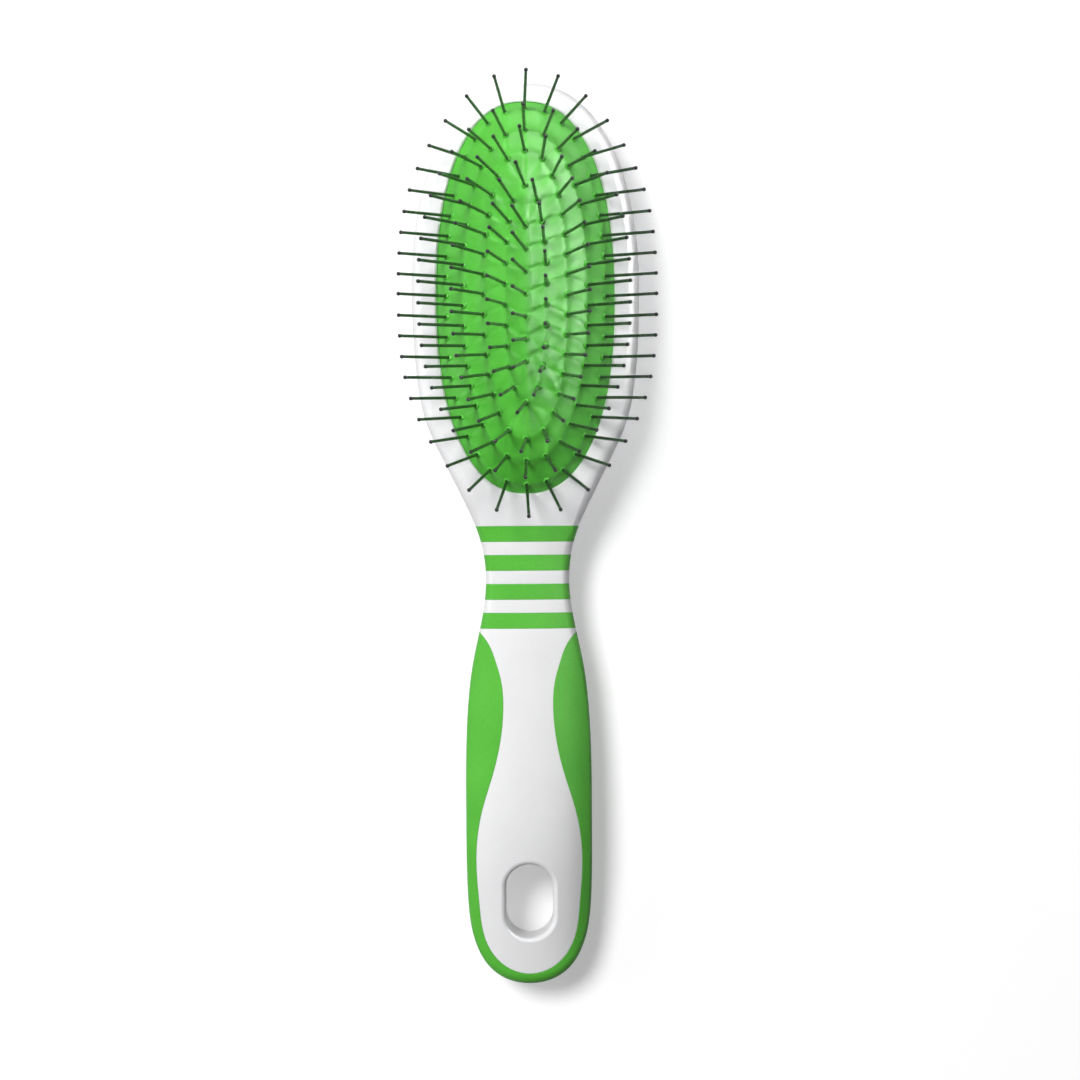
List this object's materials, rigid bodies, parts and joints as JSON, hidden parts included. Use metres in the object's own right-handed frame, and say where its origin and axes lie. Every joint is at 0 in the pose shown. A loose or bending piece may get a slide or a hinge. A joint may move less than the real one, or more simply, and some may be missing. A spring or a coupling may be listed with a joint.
{
  "type": "pet grooming pin brush",
  "caption": "Oval pet grooming brush: steel pins with ball tips on a domed rubber air cushion, hard shell head, soft-grip handle with a hanging slot.",
  "frame": {"origin": "point of the back's flat rest face directly below the centre of the oval air cushion", "axes": "+Z out of the pin face, +Y from the handle to the head's tip, +X across the brush"},
  "size_m": [0.0678, 0.2405, 0.0493],
  "materials": {
    "white_shell": "semi-gloss white moulded hard plastic",
    "soft_grip": "satin green thermoplastic rubber",
    "cushion_rubber": "satin green rubber",
    "base_plate": "plain moulded plastic, hidden inside",
    "backing_cloth": "plain woven cloth, hidden inside",
    "pin_steel": "drawn steel wire, polished",
    "pin_tip": "glossy dark baked ball"
  },
  "bodies": {
    "brush_body": {"front_shell": "white_shell", "back_shell": "white_shell", "handle_grip": "soft_grip", "neck_band_1": "soft_grip", "neck_band_2": "soft_grip", "neck_band_3": "soft_grip", "neck_band_4": "soft_grip", "cushion_base_plate": "base_plate", "air_cushion": "cushion_rubber", "pin_backing_sheet": "backing_cloth"},
    "outer_ring_pins": {"pins_outer_ring": "pin_steel", "tips_outer_ring": "pin_tip"},
    "second_ring_pins": {"pins_second_ring": "pin_steel", "tips_second_ring": "pin_tip"},
    "third_ring_pins": {"pins_third_ring": "pin_steel", "tips_third_ring": "pin_tip"},
    "inner_ring_pins": {"pins_inner_ring": "pin_steel", "tips_inner_ring": "pin_tip"},
    "centre_row_pins": {"pins_centre_row": "pin_steel", "tips_centre_row": "pin_tip"}
  },
  "joints": [
    {"name": "cushion_press", "type": "slide", "parent": "brush_body", "child": "centre_row_pins", "axis": [0, 0, -1], "range_m": [0, 0.004], "stiffness_N_per_m": 2500, "springref_m": -0.0003, "deforming": ["air_cushion", "pin_backing_sheet"]},
    {"name": "outer_ring_press", "type": "slide", "parent": "brush_body", "child": "outer_ring_pins", "axis": [0, 0, -1], "range_m": [0, 0.000932]},
    {"name": "second_ring_press", "type": "slide", "parent": "brush_body", "child": "second_ring_pins", "axis": [0, 0, -1], "range_m": [0, 0.00234]},
    {"name": "third_ring_press", "type": "slide", "parent": "brush_body", "child": "third_ring_pins", "axis": [0, 0, -1], "range_m": [0, 0.00325]},
    {"name": "inner_ring_press", "type": "slide", "parent": "brush_body", "child": "inner_ring_pins", "axis": [0, 0, -1], "range_m": [0, 0.00384]}
  ],
  "couplings": [
    {"joint": "outer_ring_press", "follows": "cushion_press", "ratio": 0.2281},
    {"joint": "second_ring_press", "follows": "cushion_press", "ratio": 0.5789},
    {"joint": "third_ring_press", "follows": "cushion_press", "ratio": 0.807},
    {"joint": "inner_ring_press", "follows": "cushion_press", "ratio": 0.9561}
  ]
}
